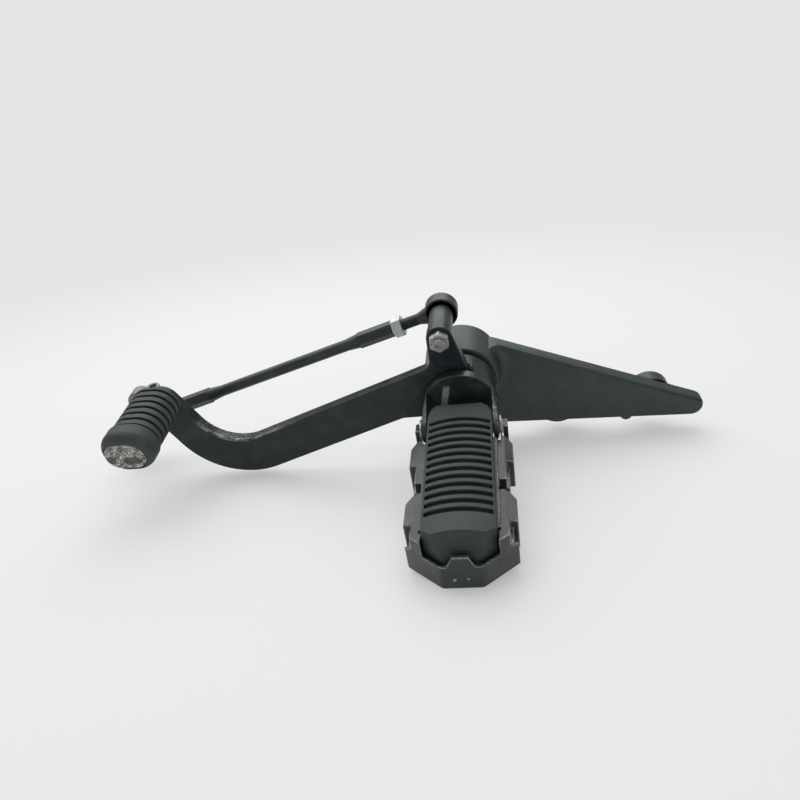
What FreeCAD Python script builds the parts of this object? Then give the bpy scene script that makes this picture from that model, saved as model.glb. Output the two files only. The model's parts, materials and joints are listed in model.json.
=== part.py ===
import FreeCAD, Part
import math
import os
from FreeCAD import Vector

# Left-hand footrest hanger with its gear lever and shift linkage, millimetres.
# Working frame: the pivot axis is the Y axis, y = 0 is the front of the lever hub,
# -Y points to the rider's foot, -X to the front of the motorcycle, +Z up.
# Every solid is moved at the end so that the origin is the mouth of the front frame bolt.

# Clearances
RUN_FIT = 0.06
SEAT_FIT = 0.03
SIDE_GAP = 0.5
BALL_GAP = 0.3
WIRE_TOLERANCE = 0.001

# Pivot stack along Y
HUB_R = 20.0
HUB_LENGTH = 17.5
HUB_BORE_R = 11.0
FRONT_SEAL_T = 1.0
REAR_SEAL_T = 1.5
SEAL_R = 17.5
BUSH_LENGTH = 7.5
FLANGE_R = 21.0
FLANGE_T = 6.0
SHAFT_R = 9.0
SHAFT_DEPTH = 20.0
CLEVIS_BOLT_R = 5.0
CLEVIS_BOLT_GRIP = 20.0
THREAD_RELIEF = 1.0
CLEVIS_BOLT_AF = 14.0
CLEVIS_BOLT_HEAD = 6.5
CLEVIS_WASHER_R = 10.5
CLEVIS_WASHER_T = 2.0

# Hanger casting
HEAD_R = 22.0
HEAD_LENGTH = 29.0
ARM_Y = 17.0
ARM_T = 8.5
ARM_LIP = 4.0
ARM_LIP_TIP = 1.2
ARM_RECESS = 1.2
HEAD_FILLET = 9.0
NOSE_X = 136.0
NOSE_Z = -42.8
NOSE_R = 7.6
NOSE_CORNER = 6.84
ARM_ROOT_TOP = 16.5
ARM_ROOT_X = -13.6
ARM_ROOT_Z = -11.0
ARM_TOP_X = 21.4
ARM_TOP_Z = 12.9
ARM_FOOT_X = 12.0
ARM_FOOT_Z = -46.0
ARM_FOOT_R = 12.0
FRONT_BOLT_X = 57.0
FRONT_BOLT_Z = -38.0
FRONT_BOSS_R = 13.5
REAR_BOLT_X = 114.0
REAR_BOLT_Z = -39.5
REAR_BOSS_R = 12.0
BOSS_HEIGHT = 11.5
FRAME_THREAD_R = 5.0
FRAME_THREAD_DEPTH = 14.0
LUG_X = 99.0
LUG_Z = -49.6
LUG_R = 3.8
RIB_T = 5.0
RIB_HEIGHT = 6.0

# Gear lever: the arm falls from the hub to a bend, then a limb climbs to the toe peg
PLATE_T = 7.0
LINK_X = -7.5
LINK_Z = 40.5
LINK_END_R = 7.2
TONGUE_LEAN_DEG = 16.0
PEG_X = -178.5
PEG_Z = 13.3
ARM_HEIGHT = 24.5
ARM_DROP_DEG = 19.6
ARM_RISE = 15.1
LIMB_RISE_DEG = 62.0
LIMB_HEIGHT = 20.8
LIMB_REACH = 7.9
BEND_INNER_R = 28.0
BEND_OUTER_R = 46.0
THROAT_R = 7.0
CROTCH_R = 12.0

# Toe peg and its sleeve, oval sections given as half width and half height
PEG_HALF_W = 9.0
PEG_HALF_H = 6.5
PEG_RIVET_R = 5.0
SLEEVE_LENGTH = 47.2
SLEEVE_HALF_W = 14.2
SLEEVE_HALF_H = 11.7
SLEEVE_GROOVE = 2.2
SLEEVE_RIB_PITCH = 5.4
SLEEVE_RIB_T = 3.3
SLEEVE_RIBS = 6
SLEEVE_COLLAR = 2.0
SLEEVE_CAP_FLARE = 1.0
SLEEVE_CAP_ROUND = 5.0
PEG_RECESS = 2.0
PEG_HEAD_HALF_W = 11.8
PEG_HEAD_HALF_H = 8.0
PEG_HEAD_T = 3.5
PEG_HEAD_SHIFT_X = -2.2
PEG_HEAD_SHIFT_Z = -2.6
PEG_MOUTH_GAP = 1.0

# Shift linkage
STUD_R = 3.0
STUD_NUT_AF = 10.0
STUD_NUT_H = 5.0
STUD_END = 2.2
SPACER_R = 6.75
SPACER_LENGTH = 20.0
BALL_R = 5.5
BALL_NECK_R = 4.2
EYE_R = 9.5
EYE_T = 9.0
LINER_R = 7.8
LINER_T = 8.0
EYE_NECK_R = 5.2
EYE_NECK_END = 15.0
ROD_LENGTH = 216.0
ROD_DROP_DEG = 16.3
ROD_R = 3.5
ROD_HEX_AF = 8.8
ROD_HEX_LENGTH = 22.3
ROD_TAPER = 9.0
REAR_HEX_START = 30.0
FRONT_HEX_END = 34.0
LOCK_NUT_T = 6.0
LOCK_NUT_AF = 11.0
THREAD_ENGAGED = 12.0

# Shift arm on the gearbox shaft
SHIFT_ARM_LENGTH = 28.4
SHIFT_ARM_DEG = 58.7
SHIFT_ARM_T = 6.0
SHIFT_EYE_R = 6.5
SHIFT_WEB_HALF_W = 5.5
SHIFT_BOSS_R = 7.5
SHIFT_BOSS_T = 9.0
SPLINE_R = 4.5
CLAMP_RISE = 14.8
CLAMP_HALF_W = 5.0
CLAMP_SLIT = 2.0
PINCH_RISE = 10.2
PINCH_R = 3.0
PINCH_HEAD_R = 4.2
PINCH_HEAD_H = 4.0
STUD_COLLAR_R = 5.0
STUD_COLLAR_T = 2.0

# Footrest hinge
PIN_Y = -21.0
PIN_Z = -4.0
PIN_R = 4.0
PIN_HEAD_R = 6.0
PIN_HEAD_T = 1.1
EAR_T = 3.4
EAR_R = 8.2
CLIP_T = 0.9
CLIP_R = 6.0
CLIP_GROOVE_R = 3.2
CLIP_MOUTH = 5.2
KNUCKLE_R = 6.5
KNUCKLE_LEFT = -3.5
KNUCKLE_EAR_GAP = 2.1
SPRING_WIRE_R = 0.9
SPRING_COIL_R = 5.4
SPRING_TURNS = 4
SPRING_COIL_GAP = 0.25
SPRING_SIDES = 8
SPRING_LEG = 11.0

# Footrest frame and pad
FOOT_END = 111.0
FOOT_BOTTOM = -27.0
RAIL_BOTTOM = -24.0
DECK_TOP = -3.0
DECK_T = 5.0
DECK_LAP = 1.3
PAD_RAIL_GAP = 0.4
RAIL_TOP = -11.0
TOOTH_TOP = -4.0
BLOCK_TOP = -5.0
BLOCK_W = 6.0
TAB_W = 3.2
TAB_TOP_W = 2.0
BLOCK_FALL = 2.0
BLOCK_TOP_W = 0.5
TOOTH_PERIOD = 42.0
BLOCK_START = 28.0
BLOCK_LENGTH = 20.0
TAB_LENGTH = 15.5
BLOCK_TAPER = 5.0
BLOCK_STEP = 3.5
BLOCK_LAP = 0.5
REAR_TAB_FLARE = 1.0
NECK_LAP = 2.0
REAR_TAB_START = 14.5
REAR_TAB_GAP = 0.1
NOSE_HALF_W = 9.5
NOSE_SHOULDER = 97.0
NOSE_RIM = -16.0
NOSE_WALL = 3.0
FOOT_CORNER = 4.0
DECK_END_T = 2.5
LIP_TOP = -13.0
LIP_W = 2.0
TONGUE_HALF_W = 8.0
TONGUE_TOP_HALF_W = 4.0
TONGUE_TOP = -7.0
PAD_EAR_GAP = 0.3
PAD_REAR = 13.0
PAD_TOP_REAR = 8.4
PAD_SLOPE = 0.0495
PAD_CROWN = 3.5
PAD_HOOD_END = 31.5
PAD_SHOULDER = 104.4
PAD_FRONT = 108.2
PAD_FRONT_BOTTOM = NOSE_RIM
PAD_CORNER = 7.0
PAD_NOSE_START = 97.0
SWING_GAP = 0.8
GROOVE_FIRST = 27.8
PAD_FRONT_BAND = 12.82
GROOVES = 13
GROOVE_W = 2.6
GROOVE_DEPTH = 2.4
PAD_RIM_W = 1.2
PAD_SCREW_R = 3.0
PAD_SCREW_HEAD_R = 5.0
PAD_SCREW_HEAD_H = 4.0
PAD_SCREW_REACH = 4.0
PAD_SCREWS_AT = (50.0, 86.0)

# Places worked out from the sizes above
head_front = HUB_LENGTH + REAR_SEAL_T
head_back = head_front + HEAD_LENGTH
arm_front = head_front + ARM_Y
arm_back = arm_front + ARM_T
boss_back = arm_back + BOSS_HEIGHT
flange_front = -FRONT_SEAL_T - FLANGE_T
shaft_end = head_front + SHAFT_DEPTH
eye_y = PLATE_T + SPACER_LENGTH + SIDE_GAP + EYE_T / 2
rod_dir = Vector(-math.cos(math.radians(ROD_DROP_DEG)), 0, -math.sin(math.radians(ROD_DROP_DEG)))
rear_eye = Vector(LINK_X, eye_y, LINK_Z)
front_eye = rear_eye + rod_dir * ROD_LENGTH
collar_front = eye_y - EYE_T / 2 - SIDE_GAP - STUD_COLLAR_T
shift_y = collar_front - SHIFT_BOSS_T
shift_dir = Vector(math.cos(math.radians(SHIFT_ARM_DEG)), 0, math.sin(math.radians(SHIFT_ARM_DEG)))
shift_boss = Vector(front_eye.x, shift_y, front_eye.z) + shift_dir * SHIFT_ARM_LENGTH
origin = Vector(FRONT_BOLT_X, boss_back, FRONT_BOLT_Z)
groove_pitch = (PAD_SHOULDER - PAD_FRONT_BAND - GROOVE_FIRST) / (GROOVES - 1)
ear_inner = FLANGE_R - EAR_T
pad_half_w = ear_inner - PAD_EAR_GAP
groove_half_w = pad_half_w - PAD_RIM_W
knuckle_right = ear_inner - KNUCKLE_EAR_GAP
rail_inner = pad_half_w + PAD_RAIL_GAP
deck_half_w = rail_inner + DECK_LAP
rail_half_w = FLANGE_R + BLOCK_LAP
block_half_w = FLANGE_R + BLOCK_W
tab_half_w = FLANGE_R + TAB_W
tab_top_half_w = FLANGE_R + TAB_TOP_W
rear_rail_inner = FLANGE_R + CLIP_T + SIDE_GAP + REAR_TAB_GAP
AXIS_X = Vector(1, 0, 0)
AXIS_Y = Vector(0, 1, 0)
AXIS_Z = Vector(0, 0, 1)


def rod_y(x, z, radius, y0, y1):
    """Cylinder along Y from y0 to y1."""
    return Part.makeCylinder(radius, y1 - y0, Vector(x, y0, z), AXIS_Y)


def rod_x(y, z, radius, x0, x1):
    """Cylinder along X from x0 to x1."""
    return Part.makeCylinder(radius, x1 - x0, Vector(x0, y, z), AXIS_X)


def block(x0, x1, y0, y1, z0, z1):
    """Box between two corners."""
    return Part.makeBox(x1 - x0, y1 - y0, z1 - z0, Vector(x0, y0, z0))


def hexagon(across_flats, length, base, direction):
    """Hexagonal prism along a direction."""
    radius = across_flats / math.sqrt(3)
    points = [Vector(radius * math.cos(math.radians(60 * k + 30)),
                     radius * math.sin(math.radians(60 * k + 30)), 0) for k in range(7)]
    prism = Part.Face(Part.makePolygon(points)).extrude(Vector(0, 0, length))
    prism.Placement = FreeCAD.Placement(base, FreeCAD.Rotation(AXIS_Z, direction))
    return prism


def rounded_wire(corners):
    """Closed wire through corner points, each corner (point, radius) turned into a tangent arc."""
    count = len(corners)
    edges = []
    joints = []
    for k in range(count):
        point, radius = corners[k]
        before = (corners[k - 1][0] - point).normalize()
        after = (corners[(k + 1) % count][0] - point).normalize()
        if radius == 0:
            joints.append((point, None, point))
            continue
        half = before.getAngle(after) / 2
        reach = radius / math.tan(half)
        centre = point + (before + after).normalize() * (radius / math.sin(half))
        middle = centre + (point - centre).normalize() * radius
        joints.append((point + before * reach, middle, point + after * reach))
    for k in range(count):
        start, middle, end = joints[k]
        if middle is not None:
            edges.append(Part.Arc(start, middle, end).toShape())
        following = joints[(k + 1) % count][0]
        if end.distanceToPoint(following) > WIRE_TOLERANCE:
            edges.append(Part.makeLine(end, following))
    return Part.Wire(edges)


def plate(corners, y0, y1):
    """Plate parallel to the XZ plane from corners (x, z, radius)."""
    wire = rounded_wire([(Vector(x, y0, z), r) for x, z, r in corners])
    return Part.Face(wire).extrude(Vector(0, y1 - y0, 0))


def slab(corners, z0, z1):
    """Slab parallel to the XY plane from corners (x, y, radius)."""
    wire = rounded_wire([(Vector(x, y, z0), r) for x, y, r in corners])
    return Part.Face(wire).extrude(Vector(0, 0, z1 - z0))


def oval(half_w, half_h, y0, y1, shift_x=0, shift_z=0):
    """Oval prism with round ends about the toe peg's axis, moved sideways by a shift."""
    left = PEG_X + shift_x - half_w
    right = PEG_X + shift_x + half_w
    low = PEG_Z + shift_z - half_h
    high = PEG_Z + shift_z + half_h
    corners = [(left, low), (right, low), (right, high), (left, high)]
    return plate([(x, z, half_h) for x, z in corners], y0, y1)


def arm_corners():
    """Outline of the hanger's arm, from the head to the rounded nose and back under."""
    fall = (NOSE_Z + NOSE_R - ARM_TOP_Z) / (NOSE_X - ARM_TOP_X)
    tip = NOSE_X + NOSE_R
    return [
        (0, ARM_ROOT_TOP, 0),
        (ARM_TOP_X, ARM_TOP_Z, 0),
        (tip, ARM_TOP_Z + fall * (tip - ARM_TOP_X), NOSE_CORNER),
        (tip, NOSE_Z - NOSE_R, NOSE_CORNER),
        (ARM_FOOT_X, ARM_FOOT_Z, ARM_FOOT_R),
        (ARM_ROOT_X, ARM_ROOT_Z, 0),
    ]


def face_recess():
    """Shallow recess of the arm's face: all of it below a lip that narrows along the top edge."""
    fall = (NOSE_Z + NOSE_R - ARM_TOP_Z) / (NOSE_X - ARM_TOP_X)
    tip = NOSE_X + 2 * NOSE_R
    tip_top = ARM_TOP_Z + fall * (tip - ARM_TOP_X)
    bottom = NOSE_Z - 3 * NOSE_R
    lip_start = ARM_TOP_Z - ARM_LIP - fall * (ARM_TOP_X + HEAD_R)
    corners = [(-HEAD_R, lip_start, 0), (tip, tip_top - ARM_LIP_TIP, 0), (tip, bottom, 0), (-HEAD_R, bottom, 0)]
    return plate(corners, arm_front, arm_front + ARM_RECESS)


def head_blend():
    """Hollow fillet that carries the head's round wall out into the arm's face."""
    face_y = arm_front + ARM_RECESS
    start = face_y - HEAD_FILLET
    bend = HEAD_FILLET * (1 - math.sqrt(0.5))
    inner = HEAD_R - HEAD_FILLET / 2
    edges = [Part.makeLine(Vector(inner, start, 0), Vector(HEAD_R, start, 0)),
             Part.Arc(Vector(HEAD_R, start, 0), Vector(HEAD_R + bend, face_y - bend, 0),
                      Vector(HEAD_R + HEAD_FILLET, face_y, 0)).toShape(),
             Part.makeLine(Vector(HEAD_R + HEAD_FILLET, face_y, 0), Vector(inner, face_y, 0)),
             Part.makeLine(Vector(inner, face_y, 0), Vector(inner, start, 0))]
    ring = Part.Face(Part.Wire(edges)).revolve(Vector(0, 0, 0), AXIS_Y, 360)
    return ring.common(plate(arm_corners(), start, face_y))


def hanger_bracket():
    """Casting: round head blended into a tapering arm with a top lip, threaded bosses and ribs behind."""
    arm = plate(arm_corners(), arm_front, arm_back).cut(face_recess())
    body = arm.fuse(rod_y(0, 0, HEAD_R, head_front, head_back)).fuse(head_blend())
    bosses = ((FRONT_BOLT_X, FRONT_BOLT_Z, FRONT_BOSS_R), (REAR_BOLT_X, REAR_BOLT_Z, REAR_BOSS_R))
    for x, z, radius in bosses:
        body = body.fuse(rod_y(x, z, radius, arm_back - ARM_T / 2, boss_back))
    body = body.fuse(rod_y(LUG_X, LUG_Z, LUG_R, arm_back - ARM_T / 2, arm_back))
    spine = [Vector(0, 0, 0), Vector(FRONT_BOLT_X, 0, FRONT_BOLT_Z), Vector(REAR_BOLT_X, 0, REAR_BOLT_Z)]
    for start, end in ((0, 1), (1, 2), (0, 2)):
        run = spine[end] - spine[start]
        rib = block(0, run.Length, 0, RIB_HEIGHT + ARM_T / 2, -RIB_T / 2, RIB_T / 2)
        rib.rotate(Vector(0, 0, 0), AXIS_Y, -math.degrees(math.atan2(run.z, run.x)))
        rib.translate(spine[start] + Vector(0, arm_back - ARM_T / 2, 0))
        body = body.fuse(rib)
    body = body.cut(rod_y(0, 0, SHAFT_R + SEAT_FIT, head_front, shaft_end))
    body = body.cut(rod_y(0, 0, CLEVIS_BOLT_R + RUN_FIT, shaft_end, head_back + RIB_HEIGHT))
    body = body.cut(rod_y(0, 0, CLEVIS_WASHER_R + SIDE_GAP, head_back, head_back + ARM_T + RIB_HEIGHT))
    for x, z, radius in bosses:
        body = body.cut(rod_y(x, z, FRAME_THREAD_R, boss_back - FRAME_THREAD_DEPTH, boss_back))
    return body


def footrest_clevis():
    """Round flange with two shell-like ears, and the shaft that carries the lever."""
    flange = rod_y(0, 0, FLANGE_R, flange_front, -FRONT_SEAL_T)
    shaft = rod_y(0, 0, SHAFT_R, -FRONT_SEAL_T, shaft_end)
    body = flange.fuse(shaft)
    barrel = rod_y(0, 0, FLANGE_R, PIN_Y - EAR_R, flange_front)
    root = math.sqrt(FLANGE_R ** 2 - ear_inner ** 2)
    high = Vector(0, PIN_Y, PIN_Z + EAR_R)
    tip = Vector(0, PIN_Y - EAR_R, PIN_Z)
    low = Vector(0, PIN_Y, PIN_Z - EAR_R)
    root_high = Vector(0, flange_front, root)
    root_low = Vector(0, flange_front, -root)
    edges = [Part.makeLine(root_high, high), Part.Arc(high, tip, low).toShape(),
             Part.makeLine(low, root_low), Part.makeLine(root_low, root_high)]
    ear = Part.Face(Part.Wire(edges))
    for x in (ear_inner, -FLANGE_R):
        side = ear.extrude(Vector(FLANGE_R - ear_inner, 0, 0))
        side.translate(Vector(x, 0, 0))
        body = body.fuse(side.common(barrel))
    body = body.cut(rod_x(PIN_Y, PIN_Z, PIN_R + SEAT_FIT, -FLANGE_R, FLANGE_R))
    thread = rod_y(0, 0, CLEVIS_BOLT_R, shaft_end - CLEVIS_BOLT_GRIP, shaft_end)
    return body.cut(thread).removeSplitter()


def clevis_bolt():
    """Bolt that pulls the clevis shaft into the head from behind."""
    seat = head_back + CLEVIS_WASHER_T
    head = hexagon(CLEVIS_BOLT_AF, CLEVIS_BOLT_HEAD, Vector(0, seat, 0), AXIS_Y)
    return head.fuse(rod_y(0, 0, CLEVIS_BOLT_R - SEAT_FIT, shaft_end - CLEVIS_BOLT_GRIP + THREAD_RELIEF, seat))


def ring(radius, bore, y0, y1):
    """Flat ring on the pivot axis."""
    return rod_y(0, 0, radius, y0, y1).cut(rod_y(0, 0, bore, y0, y1))


def lever_bush(y0):
    """Plain bearing bush in the lever's hub, on the clevis shaft."""
    return ring(HUB_BORE_R - SEAT_FIT, SHAFT_R + RUN_FIT, y0, y0 + BUSH_LENGTH)


def heading(degrees):
    """Unit direction in the XZ plane, measured up from +X."""
    return Vector(math.cos(math.radians(degrees)), 0, math.sin(math.radians(degrees)))


def shifted(point, direction, offset):
    """Line (point, direction) moved sideways, to the left of its direction as seen from -Y."""
    return point + Vector(-direction.z, 0, direction.x) * offset, direction


def meet(first, second):
    """Crossing of two lines in the XZ plane, each given as (point, direction)."""
    p, d = first
    q, e = second
    gap = q - p
    t = (gap.x * e.z - gap.z * e.x) / (d.x * e.z - d.z * e.x)
    return p + d * t


def lever_corners():
    """Outline of the lever plate: link tongue, long arm, bend, limb to the toe peg, crotch at the hub."""
    arm_way = heading(180 + ARM_DROP_DEG)
    limb_way = heading(180 - LIMB_RISE_DEG)
    arm_start = Vector(0, 0, ARM_RISE)
    peg = Vector(PEG_X, 0, PEG_Z)
    link = Vector(LINK_X, 0, LINK_Z)
    arm_top = shifted(arm_start, arm_way, -ARM_HEIGHT / 2)
    arm_under = shifted(arm_start, arm_way, ARM_HEIGHT / 2)
    limb_in = shifted(peg, limb_way, -LIMB_HEIGHT / 2)
    limb_out = shifted(peg, limb_way, LIMB_HEIGHT / 2)
    limb_end = (peg + limb_way * LIMB_REACH, Vector(-limb_way.z, 0, limb_way.x))
    tongue_left = (link - AXIS_X * LINK_END_R, AXIS_Z)
    tongue_top = (link + AXIS_Z * LINK_END_R, AXIS_X)
    tongue_right = shifted(link, heading(90 + TONGUE_LEAN_DEG), -LINK_END_R)
    level = (Vector(0, 0, 0), AXIS_X)
    crotch = (Vector(0, 0, -HUB_R / 2), AXIS_X)
    limb_round = LIMB_HEIGHT / 2
    turns = [(tongue_right, level, 0), (tongue_right, tongue_top, LINK_END_R),
             (tongue_top, tongue_left, LINK_END_R), (tongue_left, arm_top, THROAT_R),
             (arm_top, limb_in, BEND_INNER_R), (limb_in, limb_end, limb_round),
             (limb_end, limb_out, limb_round), (limb_out, arm_under, BEND_OUTER_R),
             (arm_under, crotch, CROTCH_R)]
    corners = [(meet(a, b).x, meet(a, b).z, radius) for a, b, radius in turns]
    return corners + [(0, -HUB_R / 2, 0)]


def gear_lever():
    """Lever plate welded to its hub tube."""
    body = plate(lever_corners(), 0, PLATE_T).fuse(rod_y(0, 0, HUB_R, 0, HUB_LENGTH))
    body = body.cut(rod_y(0, 0, HUB_BORE_R, 0, HUB_LENGTH))
    body = body.cut(rod_y(LINK_X, LINK_Z, STUD_R + SEAT_FIT, 0, PLATE_T))
    body = body.cut(rod_y(PEG_X, PEG_Z, PEG_RIVET_R + SEAT_FIT, 0, PLATE_T))
    return body.removeSplitter()


def peg_body(grow):
    """Oval shank with a wider worn head at the tip, made larger by grow for the hole in the sleeve."""
    head_start = -SLEEVE_LENGTH + PEG_RECESS
    head_end = head_start + PEG_HEAD_T
    return oval(PEG_HALF_W + grow, PEG_HALF_H + grow, head_end, 0).fuse(peg_head(grow, head_start, head_end))


def peg_head(grow, y0, y1):
    """Oval of the peg's head, off the peg's axis, made larger by grow."""
    return oval(PEG_HEAD_HALF_W + grow, PEG_HEAD_HALF_H + grow, y0, y1, PEG_HEAD_SHIFT_X, PEG_HEAD_SHIFT_Z)


def toe_peg():
    """Oval steel peg with its head, riveted through the lever plate."""
    return peg_body(0).fuse(rod_y(PEG_X, PEG_Z, PEG_RIVET_R, 0, PLATE_T))


def toe_rubber():
    """Ribbed sleeve with a collar at the lever and a rounded cap at the tip, open to the peg's head."""
    tip = -SLEEVE_LENGTH
    body = oval(SLEEVE_HALF_W - SLEEVE_GROOVE, SLEEVE_HALF_H - SLEEVE_GROOVE, tip + SLEEVE_CAP_ROUND, 0)
    body = body.fuse(oval(SLEEVE_HALF_W, SLEEVE_HALF_H, -SLEEVE_COLLAR, 0))
    first = -SLEEVE_COLLAR - SLEEVE_RIB_PITCH
    for k in range(SLEEVE_RIBS):
        start = first - k * SLEEVE_RIB_PITCH
        body = body.fuse(oval(SLEEVE_HALF_W, SLEEVE_HALF_H, start, start + SLEEVE_RIB_T))
    cap_start = first - SLEEVE_RIBS * SLEEVE_RIB_PITCH + SLEEVE_RIB_T
    cap = oval(SLEEVE_HALF_W + SLEEVE_CAP_FLARE, SLEEVE_HALF_H + SLEEVE_CAP_FLARE, tip, cap_start)
    tip_edges = [edge for edge in cap.Edges if abs(edge.BoundBox.YMax - tip) < WIRE_TOLERANCE]
    cap = cap.makeFillet(SLEEVE_CAP_ROUND, tip_edges)
    mouth = peg_head(PEG_MOUTH_GAP, tip, tip + PEG_RECESS)
    return body.fuse(cap).cut(peg_body(SEAT_FIT)).cut(mouth)


def link_spacer():
    """Tube that stands the rear ball joint off the lever."""
    tube = rod_y(LINK_X, LINK_Z, SPACER_R, PLATE_T, PLATE_T + SPACER_LENGTH)
    return tube.cut(rod_y(LINK_X, LINK_Z, STUD_R + SEAT_FIT, PLATE_T, PLATE_T + SPACER_LENGTH))


def rear_ball_stud():
    """Ball with a neck on the spacer and a stud that runs out through the lever's nut."""
    seat = PLATE_T + SPACER_LENGTH
    stud = rod_y(LINK_X, LINK_Z, STUD_R, -STUD_NUT_H - STUD_END, seat)
    neck = rod_y(LINK_X, LINK_Z, BALL_NECK_R, seat, eye_y)
    return Part.makeSphere(BALL_R, rear_eye).fuse(neck).fuse(stud)


def nut(centre, y0, y1):
    """Hexagon nut on a stud along Y."""
    body = hexagon(STUD_NUT_AF, y1 - y0, Vector(centre.x, y0, centre.z), AXIS_Y)
    return body.cut(rod_y(centre.x, centre.z, STUD_R + SEAT_FIT, y0, y1))


def on_rod(shape):
    """Move a shape made along +Z at the origin onto the rod's line, from the rear eye's centre."""
    shape.Placement = FreeCAD.Placement(rear_eye, FreeCAD.Rotation(AXIS_Z, rod_dir)).multiply(shape.Placement)
    return shape


def along(radius, u0, u1):
    """Round bar on the rod's line between two distances from the rear eye."""
    return on_rod(Part.makeCylinder(radius, u1 - u0, Vector(0, 0, u0)))


def hex_along(across_flats, u0, u1):
    """Hexagonal bar on the rod's line."""
    return on_rod(hexagon(across_flats, u1 - u0, Vector(0, 0, u0), AXIS_Z))


def cone_along(r0, r1, u0, u1):
    """Tapered bar on the rod's line."""
    return on_rod(Part.makeCone(r0, r1, u1 - u0, Vector(0, 0, u0)))


def link_rod():
    """Rod: hexagonal ends tapering into a round middle, tapped at both ends."""
    flat = ROD_HEX_AF / 2
    rear_end = REAR_HEX_START + ROD_HEX_LENGTH
    front_end = ROD_LENGTH - FRONT_HEX_END
    front_start = front_end - ROD_HEX_LENGTH
    rod = along(ROD_R, rear_end, front_start)
    rod = rod.fuse(hex_along(ROD_HEX_AF, REAR_HEX_START, rear_end))
    rod = rod.fuse(hex_along(ROD_HEX_AF, front_start, front_end))
    rod = rod.fuse(cone_along(flat, ROD_R, rear_end, rear_end + ROD_TAPER))
    rod = rod.fuse(cone_along(ROD_R, flat, front_start - ROD_TAPER, front_start))
    rod = rod.cut(along(STUD_R + SEAT_FIT, REAR_HEX_START, REAR_HEX_START + THREAD_ENGAGED))
    return rod.cut(along(STUD_R + SEAT_FIT, front_end - THREAD_ENGAGED, front_end))


def eye_neck(centre):
    """Taper from an eye into its shank, towards the other end of the rod."""
    reach = EYE_NECK_END - LINER_R
    if centre.x > front_eye.x:
        return cone_along(EYE_NECK_R, STUD_R, LINER_R, LINER_R + reach)
    return cone_along(STUD_R, EYE_NECK_R, ROD_LENGTH - LINER_R - reach, ROD_LENGTH - LINER_R)


def rod_end(centre, u0, u1):
    """Eye with its threaded shank, which reaches from u0 to u1 along the rod."""
    eye = rod_y(centre.x, centre.z, EYE_R, eye_y - EYE_T / 2, eye_y + EYE_T / 2)
    eye = eye.fuse(along(STUD_R, u0, u1)).fuse(eye_neck(centre))
    return eye.cut(rod_y(centre.x, centre.z, LINER_R + SEAT_FIT, eye_y - EYE_T / 2, eye_y + EYE_T / 2))


def liner(centre):
    """Bearing ring in the eye, with a round seat for the ball."""
    body = rod_y(centre.x, centre.z, LINER_R, eye_y - LINER_T / 2, eye_y + LINER_T / 2)
    return body.cut(Part.makeSphere(BALL_R + BALL_GAP, centre))


def lock_nut(u0):
    """Lock nut on a rod end's shank."""
    body = hex_along(LOCK_NUT_AF, u0, u0 + LOCK_NUT_T)
    return body.cut(along(STUD_R + SEAT_FIT, u0, u0 + LOCK_NUT_T))


def pinch_place():
    """Middle of the pinch bolt's shank."""
    return Vector(shift_boss.x + PINCH_RISE, shift_y + SHIFT_BOSS_T / 2, shift_boss.z)


def shift_arm():
    """Split clamp on the gearbox shaft, with a short arm down to the front ball joint."""
    x, z = shift_boss.x, shift_boss.z
    back = collar_front
    arm_front_y = back - SHIFT_ARM_T
    web = block(0, SHIFT_ARM_LENGTH, arm_front_y, back, -SHIFT_WEB_HALF_W, SHIFT_WEB_HALF_W)
    web.rotate(Vector(0, 0, 0), AXIS_Y, -SHIFT_ARM_DEG)
    web.translate(Vector(front_eye.x, 0, front_eye.z))
    body = web.fuse(rod_y(front_eye.x, front_eye.z, SHIFT_EYE_R, arm_front_y, back))
    body = body.fuse(rod_y(x, z, SHIFT_BOSS_R, shift_y, back))
    body = body.fuse(block(x, x + CLAMP_RISE, shift_y, back, z - CLAMP_HALF_W, z + CLAMP_HALF_W))
    body = body.cut(rod_y(x, z, SPLINE_R, shift_y, back))
    body = body.cut(block(x, x + CLAMP_RISE, shift_y, back, z - CLAMP_SLIT / 2, z + CLAMP_SLIT / 2))
    pinch = pinch_place() - AXIS_Z * CLAMP_HALF_W
    body = body.cut(Part.makeCylinder(PINCH_R + SEAT_FIT, 2 * CLAMP_HALF_W, pinch))
    hole = rod_y(front_eye.x, front_eye.z, STUD_R + SEAT_FIT, arm_front_y, back)
    return body.cut(hole).removeSplitter()


def pinch_bolt():
    """Cap bolt across the clamp's slit, its head on top."""
    seat = pinch_place() + AXIS_Z * CLAMP_HALF_W
    head = Part.makeCylinder(PINCH_HEAD_R, PINCH_HEAD_H, seat)
    socket = hexagon(PINCH_HEAD_R, PINCH_HEAD_H / 2, seat + AXIS_Z * (PINCH_HEAD_H / 2), AXIS_Z)
    shank = Part.makeCylinder(PINCH_R, 2 * CLAMP_HALF_W, seat - AXIS_Z * (2 * CLAMP_HALF_W))
    return head.cut(socket).fuse(shank)


def front_ball_stud():
    """Ball with a collar behind the shift arm and a stud that takes the nut in front of it."""
    arm_front_y = collar_front - SHIFT_ARM_T
    stud = rod_y(front_eye.x, front_eye.z, STUD_R, arm_front_y - STUD_NUT_H - STUD_END, collar_front)
    collar = rod_y(front_eye.x, front_eye.z, STUD_COLLAR_R, collar_front, collar_front + STUD_COLLAR_T)
    neck = rod_y(front_eye.x, front_eye.z, BALL_NECK_R, collar_front, eye_y)
    return Part.makeSphere(BALL_R, front_eye).fuse(neck).fuse(collar).fuse(stud)


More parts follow.
